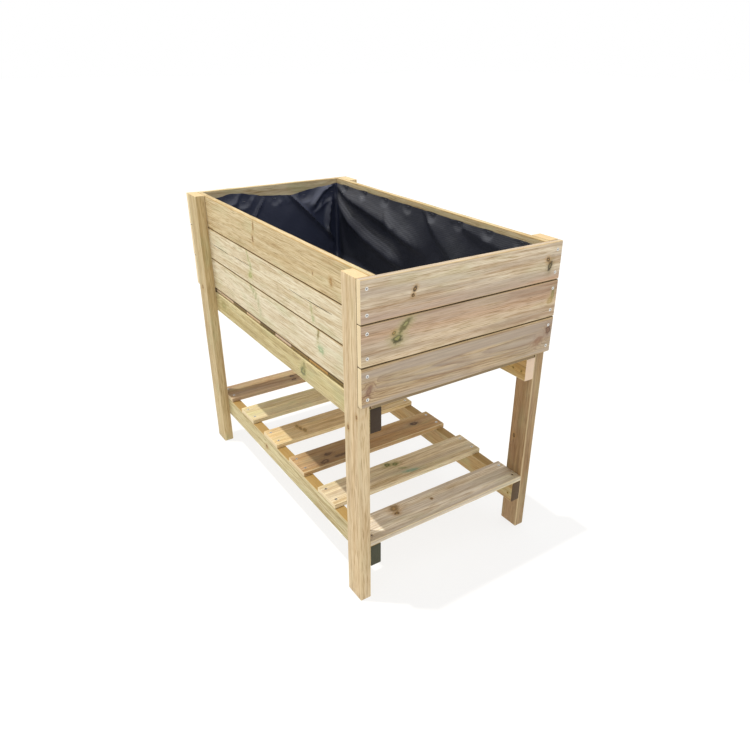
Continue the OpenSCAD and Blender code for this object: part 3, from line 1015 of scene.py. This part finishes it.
def wall_point(x, y, nx, ny, depth):
    """A point of the wall, depth metres of cloth below the edge, and the cloth's distance off."""
    top = liner_edge(x, y)
    z = top - depth * (top - LINER_FLOOR)
    wall = ("right" if nx > 0 else "left") if abs(nx) > abs(ny) else ("back" if ny > 0 else "front")
    u = y if wall in ("left", "right") else x
    reach = HALF_WIDTH if wall in ("left", "right") else HALF_LENGTH
    above = z - LINER_FLOOR
    off = 0.0035 + 0.006 * max(0, noise.noise(Vector((u * 5.2, z * 6.5, len(wall) * 3.7))))
    off += 0.0016 * noise.noise(Vector((u * 24, z * 17, len(wall) * 5.1)))
    off += sum(fold(1000 * u, 1000 * z, *crease) for crease in FOLDS[wall]) / 1000
    # Folds fade towards the corners and the floor
    off = RESTING_GAP + (off - RESTING_GAP) * rise(reach - abs(u), 0.006, 0.03) * rise(above, 0.005, 0.05)
    for staple in STAPLES:  # each crown holds the cloth flat against the board
        off *= rise(math.dist((x, y, z), staple), PRESSED_FLAT, PRESSED_FADE)
    off = max(PRESSED_GAP, off)
    # Near the floor the cloth turns in rather than filling the corner
    turn = FILLET - math.sqrt(max(0, FILLET**2 - max(0, FILLET - above) ** 2))
    return Vector(((x - nx * off) * (1 - turn / HALF_LENGTH), (y - ny * off) * (1 - turn / HALF_WIDTH), z))


COLUMN, ROWS, RINGS = 0.0055, 56, 20  # the mesh: column width, rows down a wall, rings over the floor
outline = []
straight_x, straight_y = HALF_LENGTH - CORNER, HALF_WIDTH - CORNER
for (cx, cy), start in zip(((1, 1), (-1, 1), (-1, -1), (1, -1)), (0, 90, 180, 270)):
    for k in range(9):
        a = math.radians(start + 90 * k / 8)
        outline.append(
            (
                cx * straight_x + CORNER * math.cos(a),
                cy * straight_y + CORNER * math.sin(a),
                math.cos(a),
                math.sin(a),
            )
        )
    here = outline[-1]
    after = {
        0: (-straight_x, HALF_WIDTH),
        90: (-HALF_LENGTH, -straight_y),
        180: (straight_x, -HALF_WIDTH),
        270: (HALF_LENGTH, straight_y),
    }[start]
    count = round(math.dist(here[:2], after) / COLUMN)
    for k in range(1, count):
        t = k / count
        outline.append(
            (here[0] + (after[0] - here[0]) * t, here[1] + (after[1] - here[1]) * t, here[2], here[3])
        )

points, faces = [], []
around = len(outline)
for row in range(ROWS + 1):
    depth = row / ROWS
    for x, y, nx, ny in outline:
        points.append(wall_point(x, y, nx, ny, depth))
rim = points[-around:]
for ring in range(1, RINGS):
    share = 1 - ring / RINGS
    for p in rim:
        x, y = p.x * share, p.y * share
        sag = 0.0015 + 0.004 * max(0, noise.noise(Vector((x * 11, y * 11, 7.7)))) * rise(ring, 0, 4)
        points.append(Vector((x, y, LINER_FLOOR + sag)))
points.append(Vector((0, 0, LINER_FLOOR + 0.0015)))
layers = ROWS + RINGS
for layer in range(layers - 1):
    for k in range(around):
        a, b = layer * around + k, layer * around + (k + 1) % around
        faces.append((a, a + around, b + around, b))
for k in range(around):
    faces.append(((layers - 1) * around + k, len(points) - 1, (layers - 1) * around + (k + 1) % around))
mesh = bpy.data.meshes.new("folded_liner")
mesh.from_pydata(points, [], faces)
liner = bpy.data.objects.new("folded_liner", mesh)
bpy.context.scene.collection.objects.link(liner)
bpy.ops.object.select_all(action="DESELECT")
liner.select_set(True)
bpy.context.view_layer.objects.active = liner
bpy.ops.object.mode_set(mode="EDIT")
bpy.ops.mesh.select_all(action="SELECT")
bpy.ops.mesh.normals_make_consistent(inside=False)
bpy.ops.object.mode_set(mode="OBJECT")
wall = liner.modifiers.new("wall", "SOLIDIFY")
wall.thickness, wall.offset = 0.0007, 0.0
bpy.ops.object.modifier_apply(modifier=wall.name)
bpy.ops.object.shade_smooth_by_angle(angle=math.radians(60))

# Woven black polypropylene: flat tapes about 2.5 mm wide cross over and under, so the cloth is
# black with a cold, slightly silky shine, broken by the weave. The weave is drawn at that size.
weave = bpy.data.materials.new("woven black polypropylene")
weave.use_nodes = True
tree = weave.node_tree
tree.nodes.clear()
where = add_node(tree, "TexCoord").outputs["Object"]
TAPE = 0.0025
waves = []
for direction in ("X", "Y", "Z"):
    waves.append(
        add_node(
            tree, "TexWave",
            {"Vector": where, "Scale": 2 * math.pi / (20 * 2 * TAPE), "Distortion": 0.6, "Detail": 1.0},
            wave_type="BANDS", bands_direction=direction, wave_profile="SIN",
        ).outputs["Fac"]
    )
cross = add_node(tree, "Math", {0: waves[0], 1: waves[1]}, operation="ADD").outputs[0]
cross = add_node(tree, "Math", {0: cross, 1: waves[2]}, operation="ADD").outputs[0]
cloud = add_node(tree, "TexNoise", {"Vector": where, "Scale": 9.0, "Detail": 4.0}).outputs["Fac"]
colour = add_node(
    tree, "ValToRGB", {0: cloud}, [(0.3, "#20232F"), (0.52, "#292C38"), (0.75, "#363940")]
).outputs[0]
# The left end is painted bluer and lighter, as the blue skylight that falls on it in shade
place = add_node(tree, "SeparateXYZ", {0: where}).outputs[0]
painted_skylight = add_node(tree, "MapRange", {0: place, 1: -0.455, 2: -0.468, 3: 0.0, 4: 1.0}).outputs[0]
colour = add_node(
    tree, "Mix", {FACTOR: painted_skylight, COLOUR_A: colour, COLOUR_B: linear("#343B54")}, data_type="RGBA"
).outputs[COLOUR_OUT]
rough = add_node(tree, "MapRange", {0: cloud, 3: 0.38, 4: 0.50}).outputs[0]
creases = add_node(
    tree, "TexNoise", {"Vector": where, "Scale": 55.0, "Detail": 3.0, "Distortion": 1.2}
).outputs["Fac"]
height = add_node(tree, "Math", {0: creases, 1: 4.0, 2: cross}, operation="MULTIPLY_ADD").outputs[0]
bump = add_node(tree, "Bump", {"Strength": 0.28, "Distance": 0.0006, "Height": height})
shader = add_node(
    tree,
    "BsdfPrincipled",
    {
        "Base Color": colour,
        "Roughness": rough,
        "IOR": 1.52,
        "Specular IOR Level": 1.0,
        "Normal": bump.outputs[0],
    },
)
add_node(tree, "OutputMaterial", {0: shader.outputs[0]})
liner.data.materials.append(weave)
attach(liner, "root")
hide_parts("liner")

# ---- Staples -------------------------------------------------------------------------------
# Wire staples, galvanised and 11 mm wide, driven through the liner into the top boards.

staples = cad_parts["liner_staples"]
staples.data.materials.clear()
staples.data.materials.append(metal("galvanised staple wire", "#C9CCD0", "#8E9296", 0.42, 3.0))

# ---- Studio --------------------------------------------------------------------------------
# A pale floor that glows a little, so that shadows on it stay faint, an even white surround, and one
# soft lamp high at the front left.

bpy.ops.object.select_all(action="DESELECT")
bpy.ops.mesh.primitive_plane_add(size=60, location=(0, 0, -0.0005))
ground = bpy.context.object
ground.name = "studio_floor"
bpy.ops.object.transform_apply(location=True, rotation=True, scale=True)
paint = bpy.data.materials.new("matt pale acrylic, lit from below")
paint.use_nodes = True
tree = paint.node_tree
tree.nodes.clear()
patches = add_node(
    tree,
    "TexNoise",
    {"Vector": add_node(tree, "TexCoord").outputs["Object"], "Scale": 1.5, "Detail": 3.0},
)
shade = add_node(tree, "ValToRGB", {0: patches.outputs["Fac"]}, [(0.3, "#7A7977"), (0.7, "#807F7D")])
shader = add_node(
    tree,
    "BsdfPrincipled",
    {
        "Base Color": shade.outputs[0],
        "Roughness": 0.85,
        "Emission Color": (1, 1, 1, 1),
        "Emission Strength": 0.78,
    },
)
add_node(tree, "OutputMaterial", {0: shader.outputs[0]})
ground.data.materials.append(paint)

SURROUND_LIGHT = 0.80  # what the surround lights with; the eye sees it as plain white
world = bpy.data.worlds.new("surround")
world.use_nodes = True
surround = world.node_tree.nodes["Background"]
surround.inputs["Color"].default_value = (1.0, 1.0, 1.0, 1)
seen = add_node(world.node_tree, "LightPath").outputs["Is Camera Ray"]
brightness = add_node(world.node_tree, "MapRange", {0: seen, 3: SURROUND_LIGHT, 4: 1.0}).outputs[0]
world.node_tree.links.new(brightness, surround.inputs["Strength"])
bpy.context.scene.world = world
bpy.context.scene.view_settings.view_transform = "Standard"

lamp = bpy.data.lights.new("high_lamp", "SUN")
lamp.energy, lamp.angle, lamp.color = 2.2, math.radians(1.4), (1.0, 0.97, 0.92)
sun = bpy.data.objects.new("high_lamp", lamp)
sun.rotation_euler = Vector((-0.137, -0.166, 0.977)).to_track_quat("Z", "Y").to_euler()
bpy.context.scene.collection.objects.link(sun)

# ---- Camera --------------------------------------------------------------------------------
# A moderate lens above the right front corner, a little higher than the rim.

lens = bpy.data.cameras.new("camera")
lens.sensor_width, lens.lens = 36.0, 31.4304  # millimetres
lens.shift_x, lens.shift_y = -0.0247547, 0.019504  # the photograph's middle isn't its optical centre
azimuth, elevation, roll = (math.radians(a) for a in (55.361, 27.572, 0.708))
backward = Vector(
    (
        math.sin(azimuth) * math.cos(elevation),
        -math.cos(azimuth) * math.cos(elevation),
        math.sin(elevation),
    )
)
level = (-backward).cross(Z).normalized()
upright = level.cross(-backward)
right = level * math.cos(roll) + upright * math.sin(roll)
up = upright * math.cos(roll) - level * math.sin(roll)
camera = bpy.data.objects.new("camera", lens)
camera.matrix_world = Matrix.Translation(
    (1.5305, -0.9107, 1.2401)
) @ Matrix((right, up, backward)).transposed().to_4x4()
bpy.context.scene.collection.objects.link(camera)
bpy.context.scene.camera = camera
